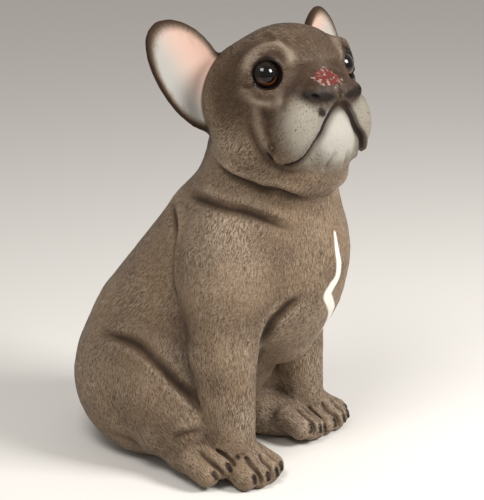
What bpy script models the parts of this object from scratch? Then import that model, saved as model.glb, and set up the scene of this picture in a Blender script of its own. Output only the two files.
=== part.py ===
"""A seated bulldog puppy garden statue with bat ears, life size, cast in one piece with two inset glossy eyes.

The dog faces -Y and its right side is at -X. Pose, proportions and carving are shares of the statue's height, and
one unit is a hundredth of it. The form is built as a modeller would in clay: lumps are laid on one another and worked
together, toes and wrinkles are pressed in, and the skin is laid over them all.
"""

import math

import bmesh
import bpy
import numpy as np
from mathutils import Euler, Matrix, Vector

# Driving dimensions, in metres
HEIGHT = 0.390
EYE_DIAMETER = 0.0250
EYE_CLEARANCE = 0.0003

# Fineness of the skin, in metres and triangles
ROUGH_VOXEL = 0.0032
SKIN_VOXEL = 0.0026
SKIN_TRIANGLES = 8300
EYE_SEGMENTS = 16

# How the skin settles onto the clay, in units: the step that feels its slope, the least slope, the longest move
PROBE = 0.05
LEAST_STEEP = 0.2
LONGEST_MOVE = 1.5
ROUGH_ROUNDS = 4
FINE_ROUNDS = 2

UNIT = HEIGHT / 100
NO_TURN = (0.0, 0.0, 0.0)


def placed(location, angles=NO_TURN):
    """A place for lumps: where it is, and its turns in degrees about X, Y and Z."""
    return Matrix.Translation(location) @ Euler([math.radians(angle) for angle in angles]).to_matrix().to_4x4()


BODY = placed((0.0, 0.0, 0.0))
# The head is turned to the dog's right. Places on it are (sideways, back, up), and its two sides are alike.
HEAD = placed((-3.0, -19.0, 85.7), (0.0, 2.0, -18.0))
# The middle of the eye's ball and the way it looks, on the head
EYE_CENTRE = (10.9, -5.2, 3.8)
EYE_TURN = (-8, 0, 22)


def smooth_join(first, second, reach):
    """Lays one lump on another and works the seam smooth."""
    overlap = np.maximum(reach - np.abs(first - second), 0.0) / reach
    return np.minimum(first, second) - overlap * overlap * overlap * reach / 6.0


def ease(value, low, high):
    """Goes smoothly from nought at low to one at high."""
    share = np.clip((value - low) / (high - low), 0.0, 1.0)
    return share * share * (3.0 - 2.0 * share)


def smooth_route(points, parts=5):
    """Points along a smooth curve through the given ones."""
    given = [np.array(point, float) for point in points]
    given = [2 * given[0] - given[1]] + given + [2 * given[-1] - given[-2]]
    route = []
    for before, start, end, after in zip(given, given[1:], given[2:], given[3:]):
        for part in range(parts):
            share = part / parts
            bend = (2 * before - 5 * start + 4 * end - after) * share**2
            twist = (3 * start - before - 3 * end + after) * share**3
            route.append(start + ((end - before) * share + bend + twist) / 2)
    return np.array(route + [given[-2]])


class Step:
    """One step of the modelling. It works only near itself, inside a box in its own place."""

    def __init__(self, place, mirrored, blend):
        self.place = place
        self.mirrored = mirrored
        self.blend = blend

    def covers(self, points, margin):
        """Works out the box from points that the step holds."""
        points = np.array(points)
        self.low = points.min(axis=0) - margin
        self.high = points.max(axis=0) + margin

    def sides(self):
        """The places where a rough mesh of the lump goes."""
        flip = Matrix.Diagonal((-1.0, 1.0, 1.0, 1.0))
        return [self.place, self.place @ flip] if self.mirrored else [self.place]

    def lay(self, depth, value):
        """The depth after this step, from the depth before it."""
        return smooth_join(depth, value, self.blend)

    def own_points(self, points):
        inverse = np.array(self.own.inverted())
        return points @ inverse[:3, :3].T + inverse[:3, 3]

class Egg(Step):
    """An egg-shaped lump."""

    def __init__(self, centre, radii, turn=NO_TURN, blend=3.0, place=BODY, mirrored=False):
        super().__init__(place, mirrored, blend)
        self.own = placed(centre, turn)
        self.radii = np.array(radii, float)
        self.covers([centre], max(radii) + blend + 2.0)

    def field(self, points):
        scaled = self.own_points(points) / self.radii
        length = np.linalg.norm(scaled, axis=1)
        slope = np.linalg.norm(scaled / self.radii, axis=1)
        return length * (length - 1.0) / np.maximum(slope, 1e-6)

    def rough(self, mesh):
        stretch = Matrix.Diagonal((*self.radii, 1.0))
        for side in self.sides():
            bmesh.ops.create_icosphere(mesh, subdivisions=3, radius=1.0, matrix=side @ self.own @ stretch)


class Hollow(Egg):
    """An egg-shaped scoop taken out of the clay."""

    def lay(self, depth, value):
        return -smooth_join(-depth, value, self.blend)


class Limb(Step):
    """A round-ended limb that tapers."""

    def __init__(self, start, end, start_radius, end_radius, blend=3.0, place=BODY, mirrored=False):
        super().__init__(place, mirrored, blend)
        self.start = np.array(start, float)
        self.end = np.array(end, float)
        self.radii = (start_radius, end_radius)
        self.covers([start, end], max(self.radii) + blend + 2.0)

    def field(self, points):
        along = self.end - self.start
        share = np.clip((points - self.start) @ along / (along @ along), 0.0, 1.0)
        gap = np.linalg.norm(points - self.start - share[:, None] * along, axis=1)
        return gap - self.radii[0] - (self.radii[1] - self.radii[0]) * share

    def rough(self, mesh):
        beads = 6
        for side in self.sides():
            for bead in range(beads + 1):
                share = bead / beads
                centre = Vector(self.start * (1 - share) + self.end * share)
                radius = self.radii[0] * (1 - share) + self.radii[1] * share
                matrix = side @ Matrix.Translation(centre)
                bmesh.ops.create_icosphere(mesh, subdivisions=2, radius=radius, matrix=matrix)


class Leaf(Step):
    """An upright oval plate with a round rim, such as an ear, bowed forward at its edges and broader at its top."""

    def __init__(self, centre, half, thickness, bow, taper=0.0, turn=NO_TURN, blend=2.0, place=BODY, mirrored=False):
        super().__init__(place, mirrored, blend)
        self.own = placed(centre, turn)
        self.half = np.array(half, float)
        self.rim = thickness / 2
        self.bow = bow
        self.taper = taper
        self.covers([centre], max(half) * 1.3 + blend + 2.0)

    def outline(self, local):
        """How far a point is out from the plate's middle, with one at its edge."""
        width = self.half[0] * (1.0 + self.taper * np.clip(local[:, 2] / self.half[1], -1.0, 1.0))
        return np.hypot(local[:, 0] / width, local[:, 2] / self.half[1])

    def through(self, local):
        """How far a point is behind the plate's middle sheet."""
        return local[:, 1] + self.bow * local[:, 0] ** 2

    def field(self, points):
        local = self.own_points(points)
        length = self.outline(local)
        outward = (length - 1.0) * self.half.min() + self.rim
        return np.hypot(np.maximum(outward, 0.0), self.through(local)) - self.rim

    def rough(self, mesh):
        for side in self.sides():
            made = bmesh.ops.create_icosphere(mesh, subdivisions=4, radius=1.0)["verts"]
            for point in made:
                across = point.co.x * self.half[0] * (1.0 + self.taper * point.co.z)
                up = point.co.z * self.half[1]
                through = self.rim * max(-1.0, min(1.0, 3.0 * point.co.y))
                point.co = side @ self.own @ Vector((across, through - self.bow * across**2, up))


class Ring(Step):
    """A round rim that looks along -Y of its own place, such as an eyelid."""

    def __init__(self, centre, turn, radius, thickness, blend=1.0, place=BODY, mirrored=False):
        super().__init__(place, mirrored, blend)
        self.own = placed(centre, turn)
        self.radius = radius
        self.rim = thickness / 2
        self.covers([centre], radius + thickness + blend + 2.0)

    def field(self, points):
        local = self.own_points(points)
        return np.hypot(np.hypot(local[:, 0], local[:, 2]) - self.radius, local[:, 1]) - self.rim

    def rough(self, mesh):
        beads = 16
        for side in self.sides():
            for bead in range(beads):
                angle = 2 * math.pi * bead / beads
                spot = Matrix.Translation((self.radius * math.cos(angle), 0, self.radius * math.sin(angle)))
                bmesh.ops.create_icosphere(mesh, subdivisions=1, radius=self.rim, matrix=side @ self.own @ spot)


class Crease(Step):
    """A line pressed into the clay, which fades out at its ends. The clay that it pushes up lies beside it, and more
    of it to one side where over says which. A depth below nought raises a ridge."""

    def __init__(self, route, depth, width, place=BODY, mirrored=False, lip=0.2, over=None, fade=0.3):
        super().__init__(place, mirrored, 0.0)
        self.route = smooth_route(route)
        self.depth = depth
        self.width = width
        self.lip = lip
        self.over = None if over is None else np.array(Vector(over).normalized())
        self.fade = fade
        self.along = np.diff(self.route, axis=0)
        far = np.concatenate([[0.0], np.cumsum(np.linalg.norm(self.along, axis=1))])
        self.share = far / far[-1]
        self.covers(self.route, 4.0 * width)

    def nearest(self, points):
        """For each point, the gap to the line, the way to it and the share of the line's length there."""
        toward = points[:, None, :] - self.route[:-1]
        share = np.clip((toward * self.along).sum(axis=2) / (self.along**2).sum(axis=1), 0.0, 1.0)
        away = toward - share[..., None] * self.along
        gap = np.linalg.norm(away, axis=2)
        rows = np.arange(len(points))
        part = gap.argmin(axis=1)
        length = self.share[part] + share[rows, part] * (self.share[part + 1] - self.share[part])
        return gap[rows, part], away[rows, part], length

    def field(self, points):
        gap, away, length = self.nearest(points)
        near = gap / self.width
        lip = self.lip * np.exp(-((near - 1.9) ** 2))
        if self.over is not None:
            lip *= 1.0 + np.tanh(1.5 * (away @ self.over) / self.width)
        strength = ease(np.minimum(length, 1.0 - length), -0.02, self.fade)
        return self.depth * strength * (np.exp(-(near**2)) - lip)

    def lay(self, depth, value):
        return depth + value


def clay_field(steps, points):
    """Depth of points, in units, after all the steps in order. It is below nought inside the clay."""
    depth = np.full(len(points), 1e3)
    local_of = {}
    for step in steps:
        key = (tuple(map(tuple, step.place)), step.mirrored)
        if key not in local_of:
            inverse = np.array(step.place.inverted())
            local = points @ inverse[:3, :3].T + inverse[:3, 3]
            if step.mirrored:
                local[:, 0] = np.abs(local[:, 0])
            local_of[key] = np.asfortranarray(local)
        local = local_of[key]
        near = np.flatnonzero((local[:, 2] > step.low[2]) & (local[:, 2] < step.high[2]))
        for axis in (0, 1):
            value = local[near, axis]
            near = near[(value > step.low[axis]) & (value < step.high[axis])]
        if len(near):
            depth[near] = step.lay(depth[near], step.field(local[near]))
    return depth


def torso():
    """Barrel chest that juts forward, sloping back and round rump."""
    return [
        Egg((0, -12, 45.5), (18.5, 18, 20.5), turn=(-12, 0, 0)),
        Egg((0, -20.5, 49), (12.5, 11, 14), blend=6),
        Limb((0, -5, 48), (0, 9, 26), 16.5, 19.5, blend=8),
        Egg((0, 12, 16.5), (21, 21.5, 18), blend=8),
        Egg((0, -3, 27), (16, 13, 15), blend=6),
        Limb((0, -12.5, 52), (-2, -16, 70), 16.5, 14, blend=8),
    ]


def thighs():
    """Heavy folded hind legs that the puppy sits on, each with the deep fold above it."""
    side = dict(mirrored=True)
    fold = [(17.5, 20, 28), (20.5, 12.5, 30), (21.5, 6, 29), (22, 1, 27), (22, -3.6, 23), (21, -8, 19), (20, -11, 14)]
    return [
        Egg((13.5, 10, 17), (10.5, 18.3, 16.8), turn=(-10, 0, 6), blend=2.5, **side),
        Limb((16, 3, 19), (17, -5, 13), 10.0, 7.5, blend=4, **side),
        Crease(fold, 1.9, 1.2, over=(0, 0, -1), **side),
    ]


def front_legs():
    """Straight wide-set forelegs with loose skin at the shoulder."""
    side = dict(mirrored=True)
    shoulder_fold = [(12.6, 5, 53), (15.5, 3, 49.5), (17.4, 1.2, 44), (18.4, -2, 38), (19, -5, 28), (20, -7.5, 18)]
    armpit = [(9.5, -28.2, 43), (11.5, -25.7, 39.4), (12.5, -22.4, 36), (11.5, -18.5, 30), (10.5, -15, 24)]
    return [
        Egg((13.5, -11.5, 46), (9.5, 11, 15), blend=5, **side),
        Limb((14.5, -12, 42), (16, -12, 29), 8.6, 7.0, blend=4, **side),
        Limb((-16, -12, 29), (-15.6, -13.4, 9), 7.0, 5.6, blend=3),
        Limb((16, -12, 29), (18.2, -12.8, 9), 7.0, 5.6, blend=3),
        Crease(shoulder_fold, 1.5, 1.3, over=(0, -1, 0), **side),
        Crease(armpit, 1.5, 1.2, **side),
    ]


def neck_wrinkles():
    """Loose skin gathered round the neck."""
    side = dict(mirrored=True)
    lower = [(14, -5, 62), (17, -12, 61.6), (17.2, -15.3, 60.2), (15.6, -20.4, 58), (12.8, -25, 56), (10, -27.5, 55.2)]
    return [
        Crease(lower, 1.2, 1.2, lip=0.35, over=(0, 0, 1), **side),
    ]


def toes(length, width, toe_radius):
    """Where each of a paw's four toes has its knuckle and its tip, in the paw's place."""
    for number in range(4):
        across = (number - 1.5) * width * 0.26
        tip = toe_radius - length / 2 + abs(number - 1.5) ** 2 * width * 0.055
        yield (across * 0.8, tip + toe_radius * 2.0), (across, tip)


def paw(place, length, width, height, toe_radius):
    """A paw that points to -Y of its place: a palm, four toes side by side and the grooves between them."""
    steps = [Egg((0, length * 0.08, height * 0.45), (width * 0.5, length * 0.42, height * 0.54), place=place)]
    for knuckle, tip in toes(length, width, toe_radius):
        start = (*knuckle, height * 0.5)
        end = (*tip, toe_radius * 0.9)
        steps.append(Limb(start, end, toe_radius * 1.1, toe_radius, blend=0.8, place=place))
    for number in range(3):
        across = (number - 1) * width * 0.26
        tip = -length / 2 + abs(number - 1) * width * 0.05
        route = [(across * 0.75, tip + toe_radius * 3.6, height * 0.85), (across, tip + toe_radius * 1.4, height * 0.6)]
        route.append((across, tip + toe_radius * 0.4, toe_radius * 0.6))
        steps.append(Crease(route, 0.9, 0.6, lip=0, place=place))
    return steps


RIGHT_FORE = (placed((-14.9, -17.0, 0), (0, 0, -7)), 14.5, 12.5, 8.5, 2.3)
LEFT_FORE = (placed((20.6, -16.4, 0), (0, 0, 11)), 14, 12.5, 8.5, 2.3)
RIGHT_HIND = (placed((-19.0, -6.9, 1.7), (-3, -14, -9)), 19, 12.5, 9.5, 2.4)
LEFT_HIND = (placed((10.4, -12.0, 2.0), (0, 30, 4)), 20, 10.5, 9, 2.2)
PAWS = (RIGHT_FORE, LEFT_FORE, RIGHT_HIND, LEFT_HIND)


def feet():
    """Forefeet under their legs, the right hind foot beside its foreleg and the left one between the two."""
    steps = []
    for place, length, width, height, toe_radius in PAWS:
        steps += paw(place, length, width, height, toe_radius)
    steps.append(Limb((-17, 1, 10), (-18.3, -7, 6), 8.0, 5.0, blend=3))
    steps.append(Limb((13, 3, 8), (10, -8, 5), 7.0, 4.8, blend=3))
    return steps


def from_eye(ahead, aside=0.0, up=0.0):
    """A place measured from the middle of the eye's ball, in the way that the eye looks."""
    return placed(EYE_CENTRE, EYE_TURN) @ Vector((aside, -ahead, up))


MOUTH_LINE = [(0, -16.5, -1.5), (1.7, -16.6, -2.4), (3.7, -16.6, -4.7), (5.1, -16.5, -7.1), (7.1, -16.3, -9.3)]
MOUTH_LINE += [(8.4, -15.4, -11.7), (9.7, -13.7, -13.2), (10.9, -11.5, -13.7), (12.1, -10.1, -12.9), (12.8, -9.6, -11.7)]


def head():
    """Broad domed skull, round cheeks, short muzzle with hanging lips and a strong chin."""
    side = dict(place=HEAD, mirrored=True)
    middle = dict(place=HEAD)
    return [
        Egg((0, -1.0, -0.5), (16.2, 12.3, 13.4), blend=5, **middle),
        Egg((9.0, -1, -9), (8.2, 9.5, 10), blend=5, **side),
        Egg((0, -6, -13), (12.2, 9.5, 7), blend=4, **middle),
        Egg((0, -4, -17), (10.5, 10.5, 6.5), blend=5, **middle),
        Egg((0, -10.2, -4.6), (12.4, 6.6, 7.6), blend=3, **middle),
        Egg((7.8, -11.4, -8), (5.2, 5.0, 6.6), turn=(0, 12, 0), blend=3, **side),
        Egg((0, -12.6, -9.8), (7.2, 5.4, 7.4), blend=1.2, **middle),
        Crease([(7.5, -10, 8.5), (7.5, -11.3, 5), (8.5, -11.3, 2), (9.5, -11.5, -1)], 2.8, 3.2, lip=0, **side),
    ]


def nose():
    """Flat square nose with a groove down its middle."""
    side = dict(place=HEAD, mirrored=True)
    middle = dict(place=HEAD)
    return [
        Egg((0, -11.9, 0.7), (8.6, 4.7, 3.1), blend=2, **middle),
        Egg((5.2, -14.2, 0.3), (3.2, 2.1, 2.0), blend=1.5, **side),
        Crease([(0, -15.4, 3.2), (0, -16.4, 1.6), (0, -16.6, 0), (0, -16.6, -1.6)], 0.5, 0.4, lip=0.3, **middle),
    ]


def eyelids():
    """Thick lids round each eye and a raised brow arch."""
    side = dict(place=HEAD, mirrored=True)
    brow = [(10.6, -2.5, 8.9), (9.3, -2.9, 9.7), (8.3, -3.8, 10.1), (6.9, -5.7, 10.2), (6.8, -7.7, 9.2), (6.9, -10.3, 7.2)]
    return [
        Ring(from_eye(0.2), EYE_TURN, 4.3, 2.4, blend=3.5, **side),
        Ring(from_eye(1.5), EYE_TURN, 3.3, 1.1, blend=1.5, **side),
        Hollow(from_eye(4.6), (3.0, 4.2, 2.9), turn=EYE_TURN, blend=0.6, **side),
        Crease(brow, -0.8, 1.2, lip=0.0, **side),
    ]


def face_folds():
    """The mouth line and the folds of loose skin behind the muzzle and along the jaw."""
    side = dict(place=HEAD, mirrored=True)
    muzzle_fold = [(0, -12.8, 6.3), (2.6, -12.4, 6.3), (5.2, -12.3, 5.2), (7.8, -12.2, 3.4), (10.0, -11.8, 1.3)]
    muzzle_fold += [(11.0, -11.7, -0.5), (12.2, -12.0, -2.7), (12.9, -12.4, -5.8), (12.9, -12.2, -8.4), (12.6, -11.3, -10.5)]
    jaw_fold = [(14.3, 4.6, -15.4), (14.0, 2.7, -17.7), (13.7, 0.7, -18.4), (12.7, -2.5, -19.2), (11.3, -4.9, -20.0)]
    jaw_fold += [(9.6, -8.2, -19.6), (6, -9.5, -20.5), (0, -10, -21.5)]
    return [
        Crease(MOUTH_LINE, 1.4, 0.8, fade=0.1, **side),
        Crease(muzzle_fold, 0.9, 0.8, lip=0.3, fade=0.1, **side),
        Crease(jaw_fold, 1.2, 1.3, lip=0.3, over=(0, 0, 1), **side),
    ]


EAR = Leaf((17.9, 10.4, 1.9), (7.4, 13.0), 2.2, 0.045, 0.07, turn=(-9, 32, 7), blend=2.5, place=HEAD, mirrored=True)


def ears():
    """Upright bat ears, broad and round-topped, bowed forward like a cup."""
    side = dict(place=HEAD, mirrored=True)
    return [Egg((11.4, 3.6, 0), (5.4, 5, 9), turn=(0, -20, 40), blend=4, **side), EAR]


def statue_steps():
    steps = torso() + thighs() + front_legs() + neck_wrinkles() + feet()
    return steps + head() + nose() + eyelids() + face_folds() + ears()


def remesh(obj, size):
    """Gives the object a new even skin."""
    skin = obj.modifiers.new("skin", "REMESH")
    skin.mode = "VOXEL"
    skin.voxel_size = size
    apply_modifiers(obj)


def apply_modifiers(obj):
    graph = bpy.context.evaluated_depsgraph_get()
    mesh = bpy.data.meshes.new_from_object(obj.evaluated_get(graph))
    old = obj.data
    obj.modifiers.clear()
    obj.data = mesh
    bpy.data.meshes.remove(old)


def settle(obj, steps, rounds):
    """Moves the skin onto the clay's own surface."""
    mesh = obj.data
    points = np.empty(len(mesh.vertices) * 3)
    mesh.vertices.foreach_get("co", points)
    points = points.reshape(-1, 3) / UNIT
    for _ in range(rounds):
        depth = clay_field(steps, points)
        slope = np.empty_like(points)
        for axis in range(3):
            moved = points.copy()
            moved[:, axis] += PROBE
            slope[:, axis] = (clay_field(steps, moved) - depth) / PROBE
        steep = np.maximum((slope**2).sum(axis=1), LEAST_STEEP)
        move = np.clip(-depth / steep, -LONGEST_MOVE, LONGEST_MOVE)
        points += move[:, None] * slope
    mesh.vertices.foreach_set("co", (points * UNIT).ravel())
    mesh.update()


def thin_out(obj, triangles):
    """Brings the skin down to so many triangles, with the most where it curves most."""
    fewer = obj.modifiers.new("fewer", "DECIMATE")
    fewer.ratio = triangles / sum(len(face.vertices) - 2 for face in obj.data.polygons)
    apply_modifiers(obj)


def flatten_underside(obj):
    """Cuts the feet and rump flat, so the statue stands on z = 0."""
    mesh = bmesh.new()
    mesh.from_mesh(obj.data)
    everything = mesh.verts[:] + mesh.edges[:] + mesh.faces[:]
    cut = bmesh.ops.bisect_plane(mesh, geom=everything, plane_co=(0, 0, 0), plane_no=(0, 0, 1), clear_inner=True)
    rims = [item for item in cut["geom_cut"] if isinstance(item, bmesh.types.BMEdge)]
    bmesh.ops.edgeloop_fill(mesh, edges=rims)
    bmesh.ops.triangulate(mesh, faces=[face for face in mesh.faces if len(face.verts) > 3])
    bmesh.ops.recalc_face_normals(mesh, faces=mesh.faces)
    mesh.to_mesh(obj.data)
    mesh.free()


def material(name, colour, roughness):
    made = bpy.data.materials.new(name)
    made.use_nodes = True
    shader = made.node_tree.nodes["Principled BSDF"]
    shader.inputs["Base Color"].default_value = (*colour, 1.0)
    shader.inputs["Roughness"].default_value = roughness
    shader.inputs["Metallic"].default_value = 0.0
    return made


def finish_surface(obj, look, sharp_angle):
    obj.data.materials.clear()
    obj.data.materials.append(look)
    obj.data.shade_smooth()
    obj.data.set_sharp_from_angle(angle=math.radians(sharp_angle))


def make_body(collection):
    """The whole dog, as it leaves its mould."""
    steps = statue_steps()
    mesh = bpy.data.meshes.new("body")
    rough = bmesh.new()
    for step in steps:
        if not isinstance(step, (Crease, Hollow)):
            step.rough(rough)
    rough.to_mesh(mesh)
    rough.free()
    mesh.transform(Matrix.Scale(UNIT, 4))
    body = bpy.data.objects.new("body", mesh)
    collection.objects.link(body)
    remesh(body, ROUGH_VOXEL)
    settle(body, steps, ROUGH_ROUNDS)
    remesh(body, SKIN_VOXEL)
    settle(body, steps, FINE_ROUNDS)
    thin_out(body, SKIN_TRIANGLES)
    flatten_underside(body)
    return body


def ball(name, radius, side, collection):
    """A ball in the eye socket of the right (-1) or left (+1) side."""
    bpy.ops.mesh.primitive_uv_sphere_add(segments=EYE_SEGMENTS, ring_count=EYE_SEGMENTS // 2, radius=radius)
    made = bpy.context.object
    made.name = name
    bpy.context.collection.objects.unlink(made)
    collection.objects.link(made)
    centre = Vector((side * EYE_CENTRE[0], EYE_CENTRE[1], EYE_CENTRE[2]))
    made.location = (HEAD @ centre) * UNIT
    return made


def main():
    for obj in list(bpy.data.objects):
        bpy.data.objects.remove(obj)
    statue = bpy.data.collections.new("bulldog garden statue")
    cutters = bpy.data.collections.new("cutters")
    for collection in (statue, cutters):
        bpy.context.scene.collection.children.link(collection)
    cutters.hide_render = True

    body = make_body(statue)
    finish_surface(body, material("painted_resin", (0.19, 0.155, 0.13), 0.62), 60)
    glossy_eye = material("glossy_eye", (0.02, 0.011, 0.007), 0.08)
    pieces = [body]
    for name, side in (("right_eye", -1), ("left_eye", 1)):
        eye = ball(name, EYE_DIAMETER / 2, side, statue)
        finish_surface(eye, glossy_eye, 60)
        socket = ball(name + "_socket", EYE_DIAMETER / 2 + EYE_CLEARANCE, side, cutters)
        socket.hide_render = True
        socket.display_type = "WIRE"
        cut = body.modifiers.new(name + "_socket", "BOOLEAN")
        cut.operation = "DIFFERENCE"
        cut.object = socket
        pieces += [eye, socket]

    # The origin is under the middle of the statue
    low = [min(vertex.co[axis] for vertex in body.data.vertices) for axis in range(2)]
    high = [max(vertex.co[axis] for vertex in body.data.vertices) for axis in range(2)]
    for piece in pieces:
        for axis in range(2):
            piece.location[axis] -= (low[axis] + high[axis]) / 2


if __name__ == "__main__":
    main()
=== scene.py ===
"""Looks of the seated bulldog puppy statue: a carved and painted coat, two glossy eyes and a plain stage.

The coat is modelled as in clay. Lumps are laid on one another and worked together, folds are pressed in, a
fine skin is laid over them all, and short hair is scored into it. Places are in units of a hundredth of the
statue's height, in the statue's own space: it faces -Y and its right side is at -X.
"""

import math

import bmesh
import bpy
import numpy as np
from bpy.props import FloatProperty, FloatVectorProperty, IntProperty, PointerProperty
from mathutils import Euler, Matrix, Vector, kdtree


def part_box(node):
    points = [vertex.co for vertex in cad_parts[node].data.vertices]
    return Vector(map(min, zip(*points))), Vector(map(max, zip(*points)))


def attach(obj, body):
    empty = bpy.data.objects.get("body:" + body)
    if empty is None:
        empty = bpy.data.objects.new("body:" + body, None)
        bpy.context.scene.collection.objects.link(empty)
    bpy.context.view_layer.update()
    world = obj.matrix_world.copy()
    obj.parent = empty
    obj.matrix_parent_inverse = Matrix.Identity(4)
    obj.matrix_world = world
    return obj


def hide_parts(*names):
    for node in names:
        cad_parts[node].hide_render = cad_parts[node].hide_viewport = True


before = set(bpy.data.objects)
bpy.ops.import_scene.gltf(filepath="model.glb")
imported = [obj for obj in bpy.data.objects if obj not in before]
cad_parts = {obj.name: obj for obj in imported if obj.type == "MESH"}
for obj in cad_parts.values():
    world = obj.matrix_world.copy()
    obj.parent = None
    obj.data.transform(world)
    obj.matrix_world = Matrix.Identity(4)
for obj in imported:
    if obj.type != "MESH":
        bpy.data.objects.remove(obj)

bl_info = {
    "name": "Bulldog Garden Statue",
    "version": (1, 0, 0),
    "blender": (4, 5, 0),
    "location": "3D View > Sidebar > Statue",
    "description": "Sculpts and paints a seated bulldog puppy statue around its packed solids",
    "category": "Add Mesh",
}

NO_TURN = (0.0, 0.0, 0.0)


def placed(location, angles=NO_TURN):
    """A place for lumps: where it is, and its turns in degrees about X, Y and Z."""
    turn = Euler([math.radians(angle) for angle in angles])
    return Matrix.Translation(location) @ turn.to_matrix().to_4x4()


BODY = placed((0.0, 0.0, 0.0))
# The head is turned to the dog's right. Places on it are (sideways, back, up), and its two sides are alike.
HEAD = placed((-3.0, -19.0, 85.7), (0.0, 2.0, -18.0))
EYE_CENTRE = (10.9, -5.2, 3.8)
EYE_TURN = (-8, 0, 22)


def middle_of(node):
    low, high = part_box(node)
    return (low + high) / 2


# One unit in metres, and the way from the statue's own space to the frame, both from where the eyes are
RIGHT_EYE = middle_of("right_eye")
LEFT_EYE = middle_of("left_eye")
UNIT = (LEFT_EYE - RIGHT_EYE).length / (2 * EYE_CENTRE[0])
SHIFT = (LEFT_EYE + RIGHT_EYE) / 2 - (HEAD @ Vector((0, EYE_CENTRE[1], EYE_CENTRE[2]))) * UNIT
EYE_RADIUS = (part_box("right_eye")[1].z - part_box("right_eye")[0].z) / 2


def smooth_join(first, second, reach):
    """Lays one lump on another and works the seam smooth."""
    overlap = np.maximum(reach - np.abs(first - second), 0.0) / reach
    return np.minimum(first, second) - overlap * overlap * overlap * reach / 6.0


def in_place(points, place, mirrored=True):
    """Points in a place's own coordinates."""
    inverse = np.array(place.inverted())
    local = points @ inverse[:3, :3].T + inverse[:3, 3]
    if mirrored:
        local[:, 0] = np.abs(local[:, 0])
    return local


def ease(value, low, high):
    """Goes smoothly from nought at low to one at high."""
    share = np.clip((value - low) / (high - low), 0.0, 1.0)
    return share * share * (3.0 - 2.0 * share)


def smooth_route(points, parts=5):
    """Points along a smooth curve through the given ones."""
    given = [np.array(point, float) for point in points]
    given = [2 * given[0] - given[1]] + given + [2 * given[-1] - given[-2]]
    route = []
    for before, start, end, after in zip(given, given[1:], given[2:], given[3:]):
        for part in range(parts):
            share = part / parts
            bend = (2 * before - 5 * start + 4 * end - after) * share**2
            twist = (3 * start - before - 3 * end + after) * share**3
            route.append(start + ((end - before) * share + bend + twist) / 2)
    return np.array(route + [given[-2]])


class Step:
    """One step of the modelling. It works only near itself, inside a box in its own place."""

    def __init__(self, place, mirrored, blend):
        self.place = place
        self.mirrored = mirrored
        self.blend = blend

    def covers(self, points, margin):
        """Works out the box from points that the step holds."""
        points = np.array(points)
        self.low = points.min(axis=0) - margin
        self.high = points.max(axis=0) + margin

    def sides(self):
        """The places where a rough mesh of the lump goes."""
        flip = Matrix.Diagonal((-1.0, 1.0, 1.0, 1.0))
        return [self.place, self.place @ flip] if self.mirrored else [self.place]

    def lay(self, depth, value):
        """The depth after this step, from the depth before it."""
        return smooth_join(depth, value, self.blend)

    def own_points(self, points):
        return in_place(points, self.own, mirrored=False)

    def holds(self, point):
        """Whether a point is in the lump's box."""
        return all(low < value < high for low, value, high in zip(self.low, point, self.high))


class Egg(Step):
    """An egg-shaped lump."""

    def __init__(self, centre, radii, turn=NO_TURN, blend=3.0, place=BODY, mirrored=False):
        super().__init__(place, mirrored, blend)
        self.own = placed(centre, turn)
        self.radii = np.array(radii, float)
        self.covers([centre], max(radii) + blend + 2.0)

    def field(self, points):
        scaled = self.own_points(points) / self.radii
        length = np.linalg.norm(scaled, axis=1)
        slope = np.linalg.norm(scaled / self.radii, axis=1)
        return length * (length - 1.0) / np.maximum(slope, 1e-6)

    def rough(self, mesh):
        stretch = Matrix.Diagonal((*self.radii, 1.0))
        for side in self.sides():
            bmesh.ops.create_icosphere(mesh, subdivisions=3, radius=1.0, matrix=side @ self.own @ stretch)


class Hollow(Egg):
    """An egg-shaped scoop taken out of the clay."""

    def lay(self, depth, value):
        return -smooth_join(-depth, value, self.blend)


class Limb(Step):
    """A round-ended limb that tapers."""

    def __init__(self, start, end, start_radius, end_radius, blend=3.0, place=BODY, mirrored=False):
        super().__init__(place, mirrored, blend)
        self.start = np.array(start, float)
        self.end = np.array(end, float)
        self.radii = (start_radius, end_radius)
        self.covers([start, end], max(self.radii) + blend + 2.0)

    def field(self, points):
        along = self.end - self.start
        share = np.clip((points - self.start) @ along / (along @ along), 0.0, 1.0)
        gap = np.linalg.norm(points - self.start - share[:, None] * along, axis=1)
        return gap - self.radii[0] - (self.radii[1] - self.radii[0]) * share

    def rough(self, mesh):
        beads = 6
        for side in self.sides():
            for bead in range(beads + 1):
                share = bead / beads
                centre = Vector(self.start * (1 - share) + self.end * share)
                radius = self.radii[0] * (1 - share) + self.radii[1] * share
                matrix = side @ Matrix.Translation(centre)
                bmesh.ops.create_icosphere(mesh, subdivisions=2, radius=radius, matrix=matrix)


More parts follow.
